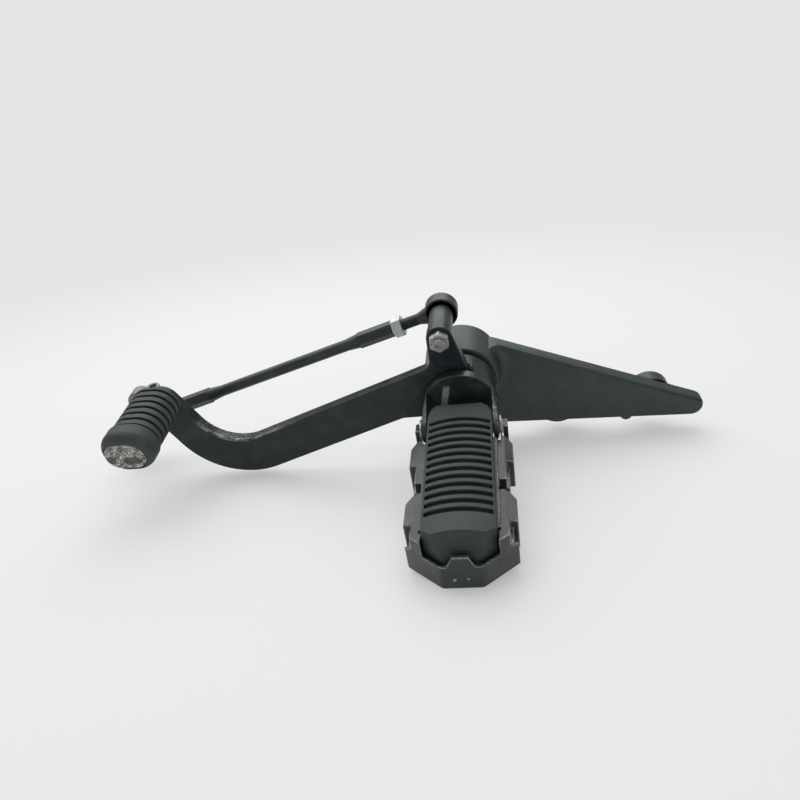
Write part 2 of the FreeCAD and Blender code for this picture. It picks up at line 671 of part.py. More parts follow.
def fold_pin():
    """Hinge pin across the ears, with a thin head and a clip groove."""
    end = FLANGE_R + CLIP_T + SIDE_GAP
    pin = rod_x(PIN_Y, PIN_Z, PIN_R, -FLANGE_R, end)
    pin = pin.fuse(rod_x(PIN_Y, PIN_Z, PIN_HEAD_R, -FLANGE_R - PIN_HEAD_T, -FLANGE_R))
    groove = rod_x(PIN_Y, PIN_Z, PIN_R, FLANGE_R, FLANGE_R + CLIP_T)
    return pin.cut(groove.cut(rod_x(PIN_Y, PIN_Z, CLIP_GROOVE_R, FLANGE_R, FLANGE_R + CLIP_T)))


def fold_pin_clip():
    """Open clip in the pin's groove."""
    disc = rod_x(PIN_Y, PIN_Z, CLIP_R, FLANGE_R, FLANGE_R + CLIP_T)
    gap = CLIP_GROOVE_R + SEAT_FIT
    disc = disc.cut(rod_x(PIN_Y, PIN_Z, gap, FLANGE_R, FLANGE_R + CLIP_T))
    mouth = block(FLANGE_R, FLANGE_R + CLIP_T, PIN_Y - CLIP_MOUTH / 2, PIN_Y + CLIP_MOUTH / 2,
                  PIN_Z - CLIP_R, PIN_Z)
    return disc.cut(mouth)


def return_spring():
    """Torsion spring round the pin between the knuckle and the left ear, its legs below the pin."""
    pitch = 2 * SPRING_WIRE_R + SPRING_COIL_GAP
    height = pitch * SPRING_TURNS
    helix = Part.makeHelix(pitch, height, SPRING_COIL_R)
    turn = 2 * math.pi / SPRING_SIDES
    section = [Vector(SPRING_COIL_R + SPRING_WIRE_R * math.cos(k * turn), 0,
                      SPRING_WIRE_R * math.sin(k * turn)) for k in range(SPRING_SIDES + 1)]
    coil = Part.Wire(helix).makePipeShell([Part.makePolygon(section)], True, True)
    coil = coil.fuse(Part.makeCylinder(SPRING_WIRE_R, SPRING_LEG, Vector(SPRING_COIL_R, 0, 0), -AXIS_Y))
    coil = coil.fuse(Part.makeCylinder(SPRING_WIRE_R, SPRING_LEG, Vector(SPRING_COIL_R, 0, height), AXIS_Y))
    upright = FreeCAD.Placement(Vector(0, 0, 0), FreeCAD.Rotation(AXIS_Z, AXIS_X))
    coil.Placement = upright.multiply(coil.Placement)
    coil.translate(Vector(KNUCKLE_LEFT - SIDE_GAP - SPRING_WIRE_R - height, PIN_Y, PIN_Z))
    return coil


def foot_plan(inset):
    """Plan of the footrest frame with its blunt, rounded nose, moved inwards by inset."""
    wide = block_half_w - inset
    shoulder = -NOSE_SHOULDER + inset / 2
    end = -FOOT_END + inset
    return [(-wide, -REAR_TAB_START, 0), (-wide, shoulder, FOOT_CORNER), (-NOSE_HALF_W, end, FOOT_CORNER),
            (NOSE_HALF_W, end, FOOT_CORNER), (wide, shoulder, FOOT_CORNER), (wide, -REAR_TAB_START, 0)]


def side_bar(side, inner, outer, start, end, top):
    """Upright bar of a side rail between two distances along the footrest."""
    x0, x1 = sorted((side * inner, side * outer))
    return block(x0, x1, -end, -start, RAIL_BOTTOM, top)


def rail_block(side, start, inner):
    """Wide block of a side rail: its top falls outwards and its outer rear corner is cut back."""
    end = start + BLOCK_LENGTH
    outer = block_half_w
    plan = [(inner, -start), (outer - BLOCK_STEP, -start), (outer, -start - BLOCK_TAPER), (outer, -end),
            (inner, -end)]
    profile = [(inner, RAIL_BOTTOM), (inner, BLOCK_TOP), (inner + BLOCK_TOP_W, BLOCK_TOP),
               (outer, BLOCK_TOP - BLOCK_FALL), (outer, RAIL_BOTTOM)]
    upright = slab([(side * x, y, 0) for x, y in plan], RAIL_BOTTOM, BLOCK_TOP)
    return upright.common(plate([(side * x, z, 0) for x, z in profile], -end, -start))


def side_rail(side):
    """Side rail: a low bar that carries wide blocks and narrower tabs, and a rear tab beside the clevis."""
    rail = side_bar(side, rail_inner, rail_half_w, PAD_HOOD_END, FOOT_END - NOSE_WALL, RAIL_TOP)
    for k in range(2):
        start = BLOCK_START + k * TOOTH_PERIOD
        middle = start + BLOCK_LENGTH
        end = middle + TAB_LENGTH
        inner = FLANGE_R if start < PAD_HOOD_END else rail_inner
        rail = rail.fuse(rail_block(side, start, inner))
        rail = rail.fuse(side_bar(side, rail_inner, tab_half_w, middle, end, RAIL_TOP))
        rail = rail.fuse(side_bar(side, rail_inner, tab_top_half_w, middle, end, TOOTH_TOP))
        rail = rail.fuse(side_bar(side, rail_inner, rail_half_w, max(start, PAD_HOOD_END), middle, BLOCK_TOP))
    rear = BLOCK_START - TOOTH_PERIOD + BLOCK_LENGTH + TAB_LENGTH
    tab_outer = tab_half_w + REAR_TAB_FLARE
    rail = rail.fuse(side_bar(side, rear_rail_inner, tab_outer, REAR_TAB_START, rear, TOOTH_TOP))
    lap = BLOCK_START + BLOCK_LAP
    return rail.fuse(side_bar(side, rear_rail_inner, tab_half_w, REAR_TAB_START, lap, RAIL_TOP))


def nose_lip():
    """Low rim round the nose, with a raised trapezoid tongue in its middle."""
    front = block(-block_half_w, block_half_w, -FOOT_END, -NOSE_SHOULDER, NOSE_RIM, LIP_TOP)
    rim = slab(foot_plan(0), NOSE_RIM, LIP_TOP).cut(slab(foot_plan(LIP_W), NOSE_RIM, LIP_TOP)).common(front)
    corners = [(-TONGUE_HALF_W, NOSE_RIM, 0), (-TONGUE_TOP_HALF_W, TONGUE_TOP, 0),
               (TONGUE_TOP_HALF_W, TONGUE_TOP, 0), (TONGUE_HALF_W, NOSE_RIM, 0)]
    return rim.fuse(plate(corners, -FOOT_END, -FOOT_END + LIP_W))


def footrest_frame():
    """Cast frame: deck under the pad, stepped side rails with raised teeth, and a blunt nose."""
    deck = block(-deck_half_w, deck_half_w, -PAD_NOSE_START, -PAD_HOOD_END, DECK_TOP - DECK_T, DECK_TOP)
    wall_back = -PAD_NOSE_START + DECK_END_T
    deck_end = block(-deck_half_w, deck_half_w, -PAD_NOSE_START, wall_back, RAIL_BOTTOM, DECK_TOP)
    body = deck.fuse(deck_end).fuse(side_rail(-1)).fuse(side_rail(1))
    body = body.common(slab(foot_plan(0), FOOT_BOTTOM, DECK_TOP))
    front = block(-block_half_w, block_half_w, -FOOT_END, -NOSE_SHOULDER, FOOT_BOTTOM, NOSE_RIM)
    nose = slab(foot_plan(0), FOOT_BOTTOM, NOSE_RIM).common(front)
    nose = nose.cut(slab(foot_plan(NOSE_WALL), FOOT_BOTTOM, NOSE_RIM - NOSE_WALL))
    body = body.fuse(nose).fuse(nose_lip())
    knuckle = rod_x(PIN_Y, PIN_Z, KNUCKLE_R, KNUCKLE_LEFT, knuckle_right)
    neck = block(KNUCKLE_LEFT, knuckle_right, -PAD_HOOD_END - NECK_LAP, PIN_Y, DECK_TOP - DECK_T, DECK_TOP)
    body = body.fuse(knuckle).fuse(neck)
    body = body.cut(rod_x(PIN_Y, PIN_Z, PIN_R + RUN_FIT, KNUCKLE_LEFT, knuckle_right))
    for along_y in PAD_SCREWS_AT:
        under = Vector(0, -along_y, DECK_TOP - DECK_T)
        body = body.cut(Part.makeCylinder(PAD_SCREW_R + SEAT_FIT, DECK_T, under))
    return body


def crowned(half_w, drop, y0, y1, bottom):
    """Bar with a crowned, gently falling top, from y0 back to y1, its top lowered by drop."""
    def section(y):
        crest = PAD_TOP_REAR - drop - PAD_SLOPE * (-PAD_REAR - y)
        edge = crest - PAD_CROWN * (half_w / pad_half_w) ** 2
        left, top, right = Vector(-half_w, y, edge), Vector(0, y, crest), Vector(half_w, y, edge)
        low_left, low_right = Vector(-half_w, y, bottom), Vector(half_w, y, bottom)
        return Part.Wire([Part.Arc(left, top, right).toShape(), Part.makeLine(right, low_right),
                          Part.makeLine(low_right, low_left), Part.makeLine(low_left, left)])
    return Part.makeLoft([section(y0), section(y1)], True, True)


def pad_swing():
    """Space the pad may fill: round about the hinge pin behind it, so that it folds clear of the flange."""
    reach = PIN_Y - flange_front
    swing = rod_x(PIN_Y, PIN_Z, -reach - SWING_GAP, -pad_half_w, pad_half_w)
    front = block(-pad_half_w, pad_half_w, -PAD_FRONT, PIN_Y, PAD_FRONT_BOTTOM, PAD_TOP_REAR + PAD_CROWN)
    return swing.fuse(front)


def pad_front_cut():
    """Wedge that slopes the pad's front from its shoulder down to the nose."""
    crest = PAD_TOP_REAR - PAD_SLOPE * (PAD_SHOULDER - PAD_REAR)
    high = PAD_TOP_REAR + PAD_CROWN
    profile = [(-PAD_SHOULDER, crest), (-PAD_FRONT, PAD_FRONT_BOTTOM), (-PAD_FRONT, high),
               (-PAD_SHOULDER, high)]
    corners = [Vector(-pad_half_w, y, z) for y, z in profile]
    return Part.Face(Part.makePolygon(corners + corners[:1])).extrude(Vector(2 * pad_half_w, 0, 0))


def footrest_rubber():
    """Crowned pad with cross ribs between side rims, a hood over the hinge and a faceted front."""
    hood_floor = PIN_Z + KNUCKLE_R + SIDE_GAP
    body = crowned(pad_half_w, 0, -PAD_FRONT, -PAD_REAR, PAD_FRONT_BOTTOM)
    body = body.cut(block(-pad_half_w, pad_half_w, -PAD_HOOD_END, 0, PAD_FRONT_BOTTOM, hood_floor))
    body = body.cut(block(-pad_half_w, pad_half_w, -PAD_NOSE_START, -PAD_HOOD_END, PAD_FRONT_BOTTOM, DECK_TOP))
    corner_y = -(NOSE_SHOULDER + PAD_SHOULDER) / 2
    plan = [(-pad_half_w, -PAD_REAR, PAD_CORNER), (-pad_half_w, corner_y, 0),
            (-TONGUE_HALF_W, -PAD_FRONT, 0), (TONGUE_HALF_W, -PAD_FRONT, 0),
            (pad_half_w, corner_y, 0), (pad_half_w, -PAD_REAR, PAD_CORNER)]
    body = body.common(slab(plan, PAD_FRONT_BOTTOM, PAD_TOP_REAR + PAD_CROWN))
    body = body.common(pad_swing()).cut(pad_front_cut())
    slots = []
    for k in range(GROOVES):
        middle = -GROOVE_FIRST - k * groove_pitch
        slots.append(block(-groove_half_w, groove_half_w, middle - GROOVE_W / 2, middle + GROOVE_W / 2,
                           DECK_TOP, PAD_TOP_REAR + PAD_CROWN))
    floor = crowned(pad_half_w, GROOVE_DEPTH, -PAD_FRONT, -PAD_REAR, PAD_FRONT_BOTTOM)
    body = body.cut(Part.makeCompound(slots).cut(floor))
    for along_y in PAD_SCREWS_AT:
        hole = Part.makeCylinder(PAD_SCREW_R + SEAT_FIT, PAD_SCREW_REACH, Vector(0, -along_y, DECK_TOP))
        body = body.cut(hole)
    return body


def pad_screws():
    """Screws that hold the pad down, from under the deck."""
    screws = []
    for along_y in PAD_SCREWS_AT:
        seat = Vector(0, -along_y, DECK_TOP - DECK_T)
        head = Part.makeCylinder(PAD_SCREW_HEAD_R, PAD_SCREW_HEAD_H, seat - AXIS_Z * PAD_SCREW_HEAD_H)
        screws.append(head.fuse(Part.makeCylinder(PAD_SCREW_R, DECK_T + PAD_SCREW_REACH - RUN_FIT, seat)))
    return Part.makeCompound(screws)


def main():
    """Build every node and write it with the origin at the front frame bolt."""
    shank = REAR_HEX_START + THREAD_ENGAGED - THREAD_RELIEF
    front_hex = ROD_LENGTH - FRONT_HEX_END
    washer_back = head_back + CLEVIS_WASHER_T
    arm_face = collar_front - SHIFT_ARM_T
    nodes = {
        "hanger_bracket": hanger_bracket(),
        "footrest_clevis": footrest_clevis(),
        "clevis_bolt": clevis_bolt(),
        "clevis_washer": ring(CLEVIS_WASHER_R, CLEVIS_BOLT_R + RUN_FIT, head_back, washer_back),
        "front_hub_seal": ring(SEAL_R, SHAFT_R + SEAT_FIT, -FRONT_SEAL_T, 0),
        "rear_hub_seal": ring(SEAL_R, SHAFT_R + SEAT_FIT, HUB_LENGTH, head_front),
        "fold_pin": fold_pin(),
        "fold_pin_clip": fold_pin_clip(),
        "return_spring": return_spring(),
        "gear_lever": gear_lever(),
        "front_lever_bush": lever_bush(0),
        "rear_lever_bush": lever_bush(HUB_LENGTH - BUSH_LENGTH),
        "toe_peg": toe_peg(),
        "toe_rubber": toe_rubber(),
        "link_spacer": link_spacer(),
        "rear_ball_stud": rear_ball_stud(),
        "rear_stud_nut": nut(rear_eye, -STUD_NUT_H, 0),
        "link_rod": link_rod(),
        "rear_rod_end": rod_end(rear_eye, LINER_R, shank),
        "rear_eye_liner": liner(rear_eye),
        "rear_lock_nut": lock_nut(REAR_HEX_START - LOCK_NUT_T),
        "front_rod_end": rod_end(front_eye, front_hex - THREAD_ENGAGED + THREAD_RELIEF, ROD_LENGTH - LINER_R),
        "front_eye_liner": liner(front_eye),
        "front_lock_nut": lock_nut(front_hex),
        "shift_arm": shift_arm(),
        "pinch_bolt": pinch_bolt(),
        "front_ball_stud": front_ball_stud(),
        "front_stud_nut": nut(front_eye, arm_face - STUD_NUT_H, arm_face),
        "footrest_frame": footrest_frame(),
        "footrest_rubber": footrest_rubber(),
        "pad_screws": pad_screws(),
    }
    os.makedirs("parts", exist_ok=True)
    for name, shape in nodes.items():
        placed = shape.copy()
        placed.translate(-origin)
        if not placed.isValid():
            raise ValueError(name + " is not a valid solid")
        placed.exportStep(os.path.join("parts", name + ".step"))
        print(name, len(placed.Solids), round(placed.Volume, 1))
    print("origin in working frame", origin)
    print("rear eye", rear_eye, "front eye", front_eye, "shift boss", shift_boss)


main()
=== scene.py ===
import json
import math

import bmesh
import bpy
import numpy as np
from bpy.props import FloatProperty, FloatVectorProperty, IntProperty, PointerProperty
from mathutils import Matrix, Vector

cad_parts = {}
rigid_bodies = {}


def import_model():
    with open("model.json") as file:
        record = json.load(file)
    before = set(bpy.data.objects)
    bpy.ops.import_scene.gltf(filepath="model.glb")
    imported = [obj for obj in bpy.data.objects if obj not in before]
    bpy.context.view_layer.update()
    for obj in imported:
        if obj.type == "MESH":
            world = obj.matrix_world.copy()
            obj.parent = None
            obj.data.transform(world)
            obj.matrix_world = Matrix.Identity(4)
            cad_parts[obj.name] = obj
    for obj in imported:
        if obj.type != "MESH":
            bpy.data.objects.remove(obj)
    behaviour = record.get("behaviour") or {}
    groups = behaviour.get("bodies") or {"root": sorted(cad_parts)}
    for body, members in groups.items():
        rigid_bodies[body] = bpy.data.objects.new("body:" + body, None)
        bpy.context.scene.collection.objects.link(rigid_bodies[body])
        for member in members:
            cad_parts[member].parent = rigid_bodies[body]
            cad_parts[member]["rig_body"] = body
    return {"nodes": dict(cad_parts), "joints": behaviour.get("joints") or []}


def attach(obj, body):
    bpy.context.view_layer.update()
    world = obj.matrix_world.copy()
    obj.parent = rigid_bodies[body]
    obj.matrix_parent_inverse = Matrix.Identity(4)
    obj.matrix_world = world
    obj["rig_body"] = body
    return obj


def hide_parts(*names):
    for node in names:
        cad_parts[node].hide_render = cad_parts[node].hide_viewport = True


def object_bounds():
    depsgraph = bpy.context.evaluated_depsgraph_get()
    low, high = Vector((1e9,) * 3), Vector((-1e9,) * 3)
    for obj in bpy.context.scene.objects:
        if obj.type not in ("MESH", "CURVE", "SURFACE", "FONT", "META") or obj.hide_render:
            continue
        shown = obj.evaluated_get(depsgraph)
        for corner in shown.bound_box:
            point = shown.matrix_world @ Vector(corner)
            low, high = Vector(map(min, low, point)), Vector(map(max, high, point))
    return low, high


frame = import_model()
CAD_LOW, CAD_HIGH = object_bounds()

bl_info = {
    "name": "Footrest hanger dresser",
    "version": (1, 0, 0),
    "blender": (4, 5, 0),
    "location": "View3D > Sidebar > Hanger",
    "description": "Finishes a motorcycle footrest hanger: soft edges, threads, welds, paint and rubber",
    "category": "Object",
}

MM = 0.001
# Edges with a larger turn than this are sharp, and flat faces that turn less than the other are joined.
SHARP = math.radians(30)
FLAT = math.radians(0.6)
# Points nearer than these are one point: in the CAD mesh, and after the soft edges are made.
SAME_POINT = 2e-6
SAME_SOFT_POINT = 0.01 * MM
# A soft edge needs this many times its width along the edges beside it.
EDGE_ROOM = 2.2
# The pivot axis in the row frame: the part is modelled about it and moved to the front frame bolt.
PIVOT = np.array([-57.0, -56.0, 38.0]) * MM
# All places below are in millimetres from the pivot axis, and most pairs are where something fades.
# Inner arc of the lever's bend, the straight top edge of its arm, and where the paint on them is rubbed.
BEND = (-134.3, 10.0)
BEND_R = 28.0
ARM_FALL = 0.356
ARM_TOP = 28.1
RUB_OUTER, RUB_INNER = 1.1, 0.5
ARC_LEFT = (-163.0, -156.0)
ARC_RIGHT = (-123.0, -126.0)
ARC_LOW = (0.0, -5.0)
ARM_LEFT = (-128.0, -124.0)
ARM_RIGHT = (-92.0, -116.0)
PLATE_FRONT = (2.4, 0.4)
# Chips on the footrest's nose, with their radii, and its front.
NOSE_CHIPS = (((-3.4, -21.2), 1.1), ((2.8, -20.6), 0.8))
NOSE_FRONT = (-109.6, -110.6)
# Bare strip on the clevis flange: its foot, lean, half width, top, bottom and depth; then the right ear.
STRIP_FOOT = -9.3
STRIP_LEAN = 0.2
STRIP_HALF = (3.1, 1.9)
STRIP_TOP = (15.6, 12.6)
STRIP_BOTTOM = (-1.0, 1.0)
STRIP_FACE = (-8.0, -7.0)
EAR_SIDE = (16.0, 17.0)
EAR_FRONT = (-6.5, -8.0)
# Toe peg's face: scratch directions in radians, the scratches' colour, and its dull spots with their radii.
SCRATCH_TURNS = (0.25, -0.6, 1.1, 2.2)
SCRATCH_PALE = (0.92, 0.89, 0.78)
DULL_SPOTS = (((-180.0, 7.4), 3.4), ((-175.6, 7.6), 3.0), ((-189.4, 8.6), 3.4))
# Weld beads: round the hub behind the plate, in degrees, and down the corner of the tongue.
HUB_R = 20.0
PLATE_BACK = 7.0
HUB_WELD = (78.0, 208.0)
HUB_WELD_STEPS = 90
HUB_RIPPLE = 2.2
TONGUE_CORNER = (7.4, 19.0)
TONGUE_WELD = (0.6, 6.6)
TONGUE_WELD_STEPS = 26
TONGUE_RIPPLE = 2.0
BEAD_SIDES = 16
# Threads: the shank's radius, each rod end's run from its eye, and the stud's tip and run.
SHANK_R = 3.02
REAR_THREAD = (13.8, 24.2)
FRONT_THREAD = (13.8, 27.8)
STUD_TIP = -7.0
STUD_THREAD = 2.2
THREAD_SIDES = 28
THREAD_STEPS = 10
# Soft edges that differ from the usual: their width in millimetres and the steps round them.
SOFT_EDGES = {
    "hanger_bracket": (1.2, 3),
    "fold_pin": (0.25, 2),
    "fold_pin_clip": (0.25, 2),
    "front_hub_seal": (0.3, 2),
    "rear_hub_seal": (0.3, 2),
    "footrest_frame": (0.5, 2),
    "return_spring": (0.0, 2),
    "gear_lever": (0.7, 3),
    "front_lever_bush": (0.2, 2),
    "rear_lever_bush": (0.2, 2),
    "toe_peg": (0.6, 2),
    "toe_rubber": (0.7, 3),
    "rear_ball_stud": (0.4, 2),
    "front_ball_stud": (0.4, 2),
    "rear_stud_nut": (0.4, 2),
    "front_stud_nut": (0.4, 2),
    "rear_eye_liner": (0.2, 2),
    "front_eye_liner": (0.2, 2),
    "shift_arm": (0.8, 3),
    "pinch_bolt": (0.4, 2),
}
USUAL_STEPS = 2
# Pieces with narrow places: all their sharp edges are softened, as wide as the tightest place allows.
CLAMPED = ("toe_peg", "toe_rubber", "rear_ball_stud", "front_ball_stud", "rear_eye_liner",
           "front_eye_liner")
# Colours of the small pieces.
PIN_GREY = (0.4, 0.4, 0.41)
SEAL_BLACK = (0.012, 0.012, 0.012)
SPRING_GREY = (0.45, 0.45, 0.46)
BRONZE = (0.6, 0.42, 0.22)
LINER_BLACK = (0.02, 0.02, 0.02)
ARM_GREY = (0.27, 0.28, 0.275)
GRIME = (0.06, 0.055, 0.05)
STUD_DULL = 0.72
# Lamps, in metres: height over the floor, shift to the side, and size.
KEY_LAMP = (1.1, (-0.25, 0.55, 0.0), 1.9)
FILL_LAMP = (0.75, (0.35, -1.1, 0.0), 0.9)
# Floor, in metres: half its width, and where it fades into the backdrop, with the backdrop's least share.
FLOOR_REACH = 12.0
FLOOR_FADE = (0.25, 0.9)
FLOOR_SHARE = 0.45
SENSOR_MM = 36.0
PICTURE = 800


class FinishSettings(bpy.types.PropertyGroup):
    """Colours and edge sizes of the hanger's finishes."""
    hanger_black: FloatVectorProperty(
        name="Hanger black", description="Satin paint of the cast hanger", subtype="COLOR", size=3,
        min=0, max=1, default=(0.0190, 0.0315, 0.0325))
    lever_black: FloatVectorProperty(
        name="Lever black", description="Paint of the gear lever and link", subtype="COLOR", size=3,
        min=0, max=1, default=(0.0105, 0.0185, 0.0200))
    frame_black: FloatVectorProperty(
        name="Frame black", description="Semi-gloss paint of the footrest frame and clevis",
        subtype="COLOR", size=3, min=0, max=1, default=(0.0110, 0.0180, 0.0182))
    pad_grey: FloatVectorProperty(
        name="Pad grey", description="Moulded rubber of the footrest pad", subtype="COLOR", size=3,
        min=0, max=1, default=(0.0250, 0.0330, 0.0325))
    toe_grey: FloatVectorProperty(
        name="Toe rubber grey", description="Moulded rubber of the toe sleeve", subtype="COLOR", size=3,
        min=0, max=1, default=(0.0260, 0.0365, 0.0355))
    zinc: FloatVectorProperty(
        name="Zinc", description="Plating of nuts and bolts", subtype="COLOR", size=3,
        min=0, max=1, default=(0.56, 0.575, 0.57))
    bare_steel: FloatVectorProperty(
        name="Bare steel", description="Steel where paint has worn through", subtype="COLOR", size=3,
        min=0, max=1, default=(0.33, 0.335, 0.33))
    dust: FloatVectorProperty(
        name="Dust", description="Pale dust lying on rubber and paint", subtype="COLOR", size=3,
        min=0, max=1, default=(0.2, 0.2, 0.19))
    edge_width: FloatProperty(
        name="Edge width", description="Width of the softened edges", subtype="DISTANCE", unit="LENGTH",
        min=0, default=0.55 * MM)


class ThreadSettings(bpy.types.PropertyGroup):
    """Sizes of the screw threads and weld beads."""
    pitch: FloatProperty(
        name="Pitch", description="Distance between two thread crests", subtype="DISTANCE", unit="LENGTH",
        min=0, default=1.0 * MM)
    depth: FloatProperty(
        name="Depth", description="Height of a thread over the shank", subtype="DISTANCE", unit="LENGTH",
        min=0, default=0.42 * MM)
    bead: FloatProperty(
        name="Bead radius", description="Radius of a weld bead", subtype="DISTANCE", unit="LENGTH",
        min=0, default=1.9 * MM)


class StageSettings(bpy.types.PropertyGroup):
    """Camera, floor and lamps."""
    camera_place: FloatVectorProperty(
        name="Camera place", description="Camera location in the row frame", subtype="TRANSLATION",
        unit="LENGTH", size=3, default=(-0.030531, -0.378619, 0.265634))
    pitch: FloatProperty(
        name="Pitch", description="Downward tilt of the camera", subtype="ANGLE",
        default=math.radians(34.3754))
    yaw: FloatProperty(
        name="Yaw", description="Turn of the camera about Z", subtype="ANGLE",
        default=math.radians(10.6712))
    roll: FloatProperty(
        name="Roll", description="Turn of the camera about its own axis", subtype="ANGLE",
        default=math.radians(10.3336))
    focal: FloatProperty(
        name="Focal length", description="Focal length in picture widths", default=0.8736)
    floor_normal: FloatVectorProperty(
        name="Floor normal", description="Upward direction of the surface that the part lies on",
        subtype="DIRECTION", size=3, default=(0.028, 0.196, 0.980))
    world_strength: FloatProperty(
        name="Sky light", description="Strength of the even light from all round", default=0.38)
    backdrop: FloatVectorProperty(
        name="Backdrop", description="Colour that the camera sees behind the part", subtype="COLOR", size=3,
        min=0, max=1, default=(0.775, 0.79, 0.77))
    key_power: FloatProperty(
        name="Key lamp", description="Power of the overhead soft box", subtype="POWER", unit="POWER",
        default=24.0)
    fill_power: FloatProperty(
        name="Fill lamp", description="Power of the front soft box", subtype="POWER", unit="POWER",
        default=0.8)
    samples: IntProperty(
        name="Samples", description="Render samples", min=1, default=128)


class Value:
    """A shader socket that takes part in Python expressions; each operator adds a Math node."""

    def __init__(self, tree, socket):
        self.tree = tree
        self.socket = socket

    def math(self, operation, *others):
        """Math node of that operation on this value and others."""
        sockets = dict(enumerate((self, *others)))
        return Tree(self.tree).node("ShaderNodeMath", {"operation": operation}, sockets)

    def __add__(self, other):
        return self.math("ADD", other)

    __radd__ = __add__

    def __mul__(self, other):
        return self.math("MULTIPLY", other)

    __rmul__ = __mul__

    def __sub__(self, other):
        return self.math("SUBTRACT", other)

    def __rsub__(self, other):
        return (self * -1.0) + other

    def __pow__(self, other):
        return self.math("POWER", other)

    def clip(self):
        """This value held between 0 and 1."""
        return self.math("MINIMUM", 1.0).math("MAXIMUM", 0.0)

    def step(self, low, high):
        """Smooth rise from 0 at low to 1 at high; it falls where low is above high."""
        return Tree(self.tree).node("ShaderNodeMapRange", {"interpolation_type": "SMOOTHSTEP"},
                                    {"Value": self, "From Min": min(low, high), "From Max": max(low, high),
                                     "To Min": float(low > high), "To Max": float(low <= high)})


class Tree:
    """A material's node tree."""

    def __init__(self, tree):
        self.tree = tree

    def node(self, kind, settings=None, sockets=None, out=0):
        """Adds a node of that kind, sets its settings, then fills its sockets; returns one output."""
        node = self.tree.nodes.new(kind)
        for name, value in (settings or {}).items():
            setattr(node, name, value)
        for name, value in (sockets or {}).items():
            target = node.inputs[name]
            if isinstance(value, Value):
                self.tree.links.new(value.socket, target)
            else:
                target.default_value = value
        return Value(self.tree, node.outputs[out])

    def place(self):
        """Object coordinates."""
        return self.node("ShaderNodeTexCoord", out="Object")

    def axes(self):
        """The three object coordinates as values, in millimetres from the pivot axis."""
        shift = self.node("ShaderNodeVectorMath", {"operation": "SUBTRACT"},
                          {0: self.place(), 1: tuple(PIVOT)})
        large = self.node("ShaderNodeVectorMath", {"operation": "SCALE"}, {0: shift, "Scale": 1.0 / MM})
        return tuple(self.node("ShaderNodeSeparateXYZ", None, {0: large}, axis) for axis in "XYZ")

    def noise(self, scale, detail=3.0, rough=0.55):
        """Noise of about one feature per 1/scale metres, from 0 to 1."""
        return self.node("ShaderNodeTexNoise", None,
                         {"Vector": self.place(), "Scale": scale, "Detail": detail, "Roughness": rough})

    def streaks(self, turn):
        """Fine scratches, from 0 to 1, along one direction in the XZ plane."""
        x, _, z = self.axes()
        along = x * math.cos(turn) + z * math.sin(turn)
        aside = z * math.cos(turn) - x * math.sin(turn)
        place = self.node("ShaderNodeCombineXYZ", None, {0: along * 0.32, 1: aside * 2.0, 2: turn * 7.0})
        cloud = self.node("ShaderNodeTexNoise", None,
                          {"Vector": place, "Scale": 1.0, "Detail": 4.0, "Roughness": 0.6})
        return cloud.step(0.565, 0.64)

    def cells(self, scale):
        """Distance to the nearest of scattered points."""
        return self.node("ShaderNodeTexVoronoi", None, {"Vector": self.place(), "Scale": scale})

    def mix(self, factor, low, high):
        """Colour from low to high."""
        return self.node("ShaderNodeMix", {"data_type": "RGBA"}, {0: factor, 6: low, 7: high}, 2)

    def bump(self, height, strength, distance):
        """Normal from a height value."""
        return self.node("ShaderNodeBump", None,
                         {"Height": height, "Strength": strength, "Distance": distance})


def finish_material(name, build):
    """New material whose surface is one Principled shader, filled by build(tree) -> sockets."""
    material = bpy.data.materials.new(name)
    material.use_nodes = True
    tree = material.node_tree
    tree.nodes.clear()
    nodes = Tree(tree)
    shader = nodes.node("ShaderNodeBsdfPrincipled", None, build(nodes))
    out = tree.nodes.new("ShaderNodeOutputMaterial")
    tree.links.new(shader.socket, out.inputs["Surface"])
    return material


def rgba(colour, gain=1.0):
    """Colour with full alpha, brightened by gain."""
    return (*[min(1.0, c * gain) for c in colour], 1.0)


def finishes():
    """This scene's finish settings."""
    return bpy.context.scene.hanger_finish


def paint(name, colour, rough, peel, dust, wear=None, shine=0.85, gloss=0.5):
    """Black paint: fine peel in its surface, uneven sheen, thin dust, and bare steel where wear(tree) says.

    shine is how metallic the bare places are, and gloss how much the paint reflects."""
    def build(t):
        settings = finishes()
        broad = t.noise(38.0, 2.0)
        fine = t.noise(900.0, 2.0)
        grain = t.noise(2600.0, 1.0)
        speck = t.noise(1500.0, 1.0).step(0.66, 0.74)
        film = (t.noise(90.0, 4.0).step(0.42, 0.72) * dust).clip()
        base = t.mix(broad, rgba(colour, 0.82), rgba(colour, 1.25))
        base = t.mix(film, base, rgba(settings.dust))
        base = t.mix(speck * (dust * 0.8), base, rgba(settings.dust, 1.3))
        sheen = broad * 0.12 + (fine * 0.08 + (rough - 0.1)) + film * 0.2
        metal = 0.0
        if wear is not None:
            bare = wear(t)
            scratch = t.noise(1800.0, 3.0).step(0.35, 0.7)
            steel = t.mix(scratch, rgba(settings.bare_steel, 0.55), rgba(settings.bare_steel, 1.35))
            base = t.mix(bare, base, steel)
            sheen = sheen * (1.0 - bare) + bare * 0.36
            metal = bare * shine
        height = fine * 0.7 + grain * 0.3
        return {"Base Color": base, "Roughness": sheen.clip(), "Metallic": metal,
                "Specular IOR Level": gloss, "Normal": t.bump(height, peel, 0.0006)}
    return finish_material(name, build)


